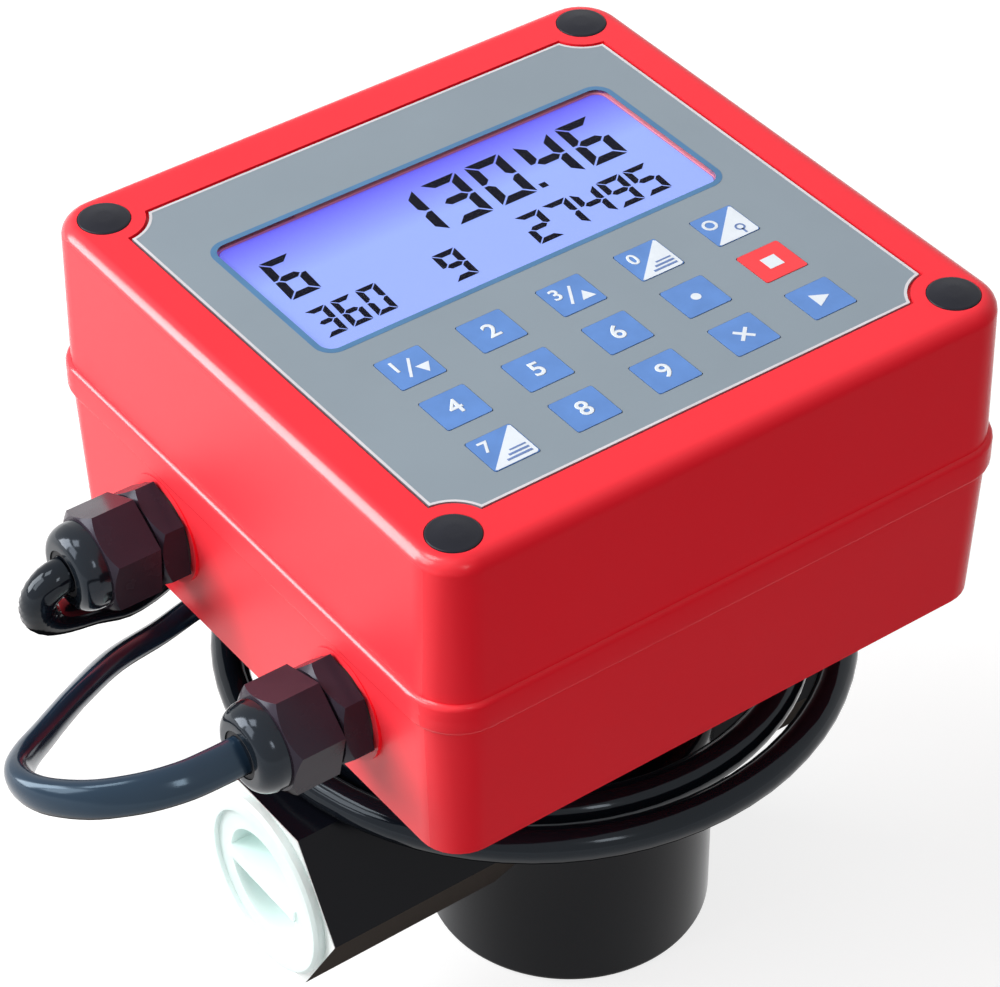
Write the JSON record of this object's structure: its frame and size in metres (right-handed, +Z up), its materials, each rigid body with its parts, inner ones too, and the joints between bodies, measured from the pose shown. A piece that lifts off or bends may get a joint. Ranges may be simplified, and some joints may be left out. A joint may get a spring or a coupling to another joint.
{
  "type": "diesel flow meter",
  "caption": "Digital fuel flow meter: a square keypad head with a display on an oval-gear meter body with a hexagonal pipe bar, cable glands and two leads.",
  "frame": {"origin": "centre of the gear chamber's flat underside, which the meter stands on", "axes": "+Z up through the display, +X along the pipe bar towards the outlet, front edge of the keypad towards -Y"},
  "size_m": [0.221, 0.1594, 0.1887],
  "materials": {
    "red_paint": "gloss",
    "black_paint": "gloss",
    "panel_film": "matte",
    "clear_window": "clear",
    "display": "gloss",
    "white_plastic": "satin",
    "circuit_board": "satin",
    "green_plastic": "satin",
    "steel": "satin",
    "stainless": "satin",
    "blue_key": "satin",
    "red_key": "satin",
    "gland_plastic": "satin",
    "seal_rubber": "matte",
    "lead_rubber": "satin",
    "copper_core": "satin",
    "sensor_body": "satin",
    "magnet": "satin"
  },
  "bodies": {
    "meter": {"head_base": "red_paint", "head_lid": "red_paint", "lid_gasket": "seal_rubber", "overlay_panel": "panel_film", "display_window": "clear_window", "lcd_glass": "display", "lcd_backlight": "white_plastic", "display_board": "circuit_board", "board_screws": "steel", "key_switches": "gland_plastic", "main_board": "circuit_board", "terminal_block": "green_plastic", "lid_screws": "steel", "corner_caps": "gland_plastic", "gland_bodies": "gland_plastic", "gland_nuts": "gland_plastic", "gland_seals": "seal_rubber", "gland_locknuts": "gland_plastic", "gland_washers": "seal_rubber", "lead_tails": "lead_rubber", "lead_cores": "copper_core", "front_lead": "lead_rubber", "back_lead": "lead_rubber", "back_lead_coil": "lead_rubber", "back_lead_ends": "copper_core", "coil_tie": "gland_plastic", "neck_grommet": "seal_rubber", "meter_body": "black_paint", "neck_adapter": "black_paint", "neck_gasket": "seal_rubber", "neck_screws": "steel", "chamber_cover": "black_paint", "cover_oring": "seal_rubber", "cover_screws": "steel", "gear_shafts": "steel", "pulse_sensor": "sensor_body", "inlet_strainer": "steel", "inlet_arm": "black_paint", "outlet_arm": "black_paint"},
    "key_1": {"key_1": "blue_key"},
    "key_2": {"key_2": "blue_key"},
    "key_3": {"key_3": "blue_key"},
    "key_0": {"key_0": "blue_key"},
    "key_lock": {"key_lock": "blue_key"},
    "key_4": {"key_4": "blue_key"},
    "key_5": {"key_5": "blue_key"},
    "key_6": {"key_6": "blue_key"},
    "key_point": {"key_point": "blue_key"},
    "key_stop": {"key_stop": "red_key"},
    "key_7": {"key_7": "blue_key"},
    "key_8": {"key_8": "blue_key"},
    "key_9": {"key_9": "blue_key"},
    "key_clear": {"key_clear": "blue_key"},
    "key_start": {"key_start": "blue_key"},
    "gear_a": {"gear_a": "stainless", "gear_a_bush": "gland_plastic", "gear_magnets": "magnet"},
    "gear_b": {"gear_b": "stainless", "gear_b_bush": "gland_plastic"},
    "inlet_plug": {"inlet_plug": "white_plastic"}
  },
  "joints": [
    {"name": "key_1_press", "type": "slide", "parent": "meter", "child": "key_1", "axis": [0, 0, -1], "range_m": [0, 0.0004], "stiffness_N_per_m": 300},
    {"name": "key_2_press", "type": "slide", "parent": "meter", "child": "key_2", "axis": [0, 0, -1], "range_m": [0, 0.0004], "stiffness_N_per_m": 300},
    {"name": "key_3_press", "type": "slide", "parent": "meter", "child": "key_3", "axis": [0, 0, -1], "range_m": [0, 0.0004], "stiffness_N_per_m": 300},
    {"name": "key_0_press", "type": "slide", "parent": "meter", "child": "key_0", "axis": [0, 0, -1], "range_m": [0, 0.0004], "stiffness_N_per_m": 300},
    {"name": "key_lock_press", "type": "slide", "parent": "meter", "child": "key_lock", "axis": [0, 0, -1], "range_m": [0, 0.0004], "stiffness_N_per_m": 300},
    {"name": "key_4_press", "type": "slide", "parent": "meter", "child": "key_4", "axis": [0, 0, -1], "range_m": [0, 0.0004], "stiffness_N_per_m": 300},
    {"name": "key_5_press", "type": "slide", "parent": "meter", "child": "key_5", "axis": [0, 0, -1], "range_m": [0, 0.0004], "stiffness_N_per_m": 300},
    {"name": "key_6_press", "type": "slide", "parent": "meter", "child": "key_6", "axis": [0, 0, -1], "range_m": [0, 0.0004], "stiffness_N_per_m": 300},
    {"name": "key_point_press", "type": "slide", "parent": "meter", "child": "key_point", "axis": [0, 0, -1], "range_m": [0, 0.0004], "stiffness_N_per_m": 300},
    {"name": "key_stop_press", "type": "slide", "parent": "meter", "child": "key_stop", "axis": [0, 0, -1], "range_m": [0, 0.0004], "stiffness_N_per_m": 300},
    {"name": "key_7_press", "type": "slide", "parent": "meter", "child": "key_7", "axis": [0, 0, -1], "range_m": [0, 0.0004], "stiffness_N_per_m": 300},
    {"name": "key_8_press", "type": "slide", "parent": "meter", "child": "key_8", "axis": [0, 0, -1], "range_m": [0, 0.0004], "stiffness_N_per_m": 300},
    {"name": "key_9_press", "type": "slide", "parent": "meter", "child": "key_9", "axis": [0, 0, -1], "range_m": [0, 0.0004], "stiffness_N_per_m": 300},
    {"name": "key_clear_press", "type": "slide", "parent": "meter", "child": "key_clear", "axis": [0, 0, -1], "range_m": [0, 0.0004], "stiffness_N_per_m": 300},
    {"name": "key_start_press", "type": "slide", "parent": "meter", "child": "key_start", "axis": [0, 0, -1], "range_m": [0, 0.0004], "stiffness_N_per_m": 300},
    {"name": "gear_a_spin", "type": "hinge", "parent": "meter", "child": "gear_a", "pos_m": [0, 0.01275, 0.023], "axis": [0, 0, 1], "continuous": true},
    {"name": "gear_b_spin", "type": "hinge", "parent": "meter", "child": "gear_b", "pos_m": [0, -0.01275, 0.023], "axis": [0, 0, 1], "continuous": true},
    {"name": "inlet_plug_pull", "type": "slide", "parent": "meter", "child": "inlet_plug", "axis": [-1, 0, 0], "range_m": [0, 0.04]}
  ],
  "couplings": [
    {"joint": "gear_b_spin", "follows": "gear_a_spin", "ratio": -1}
  ]
}
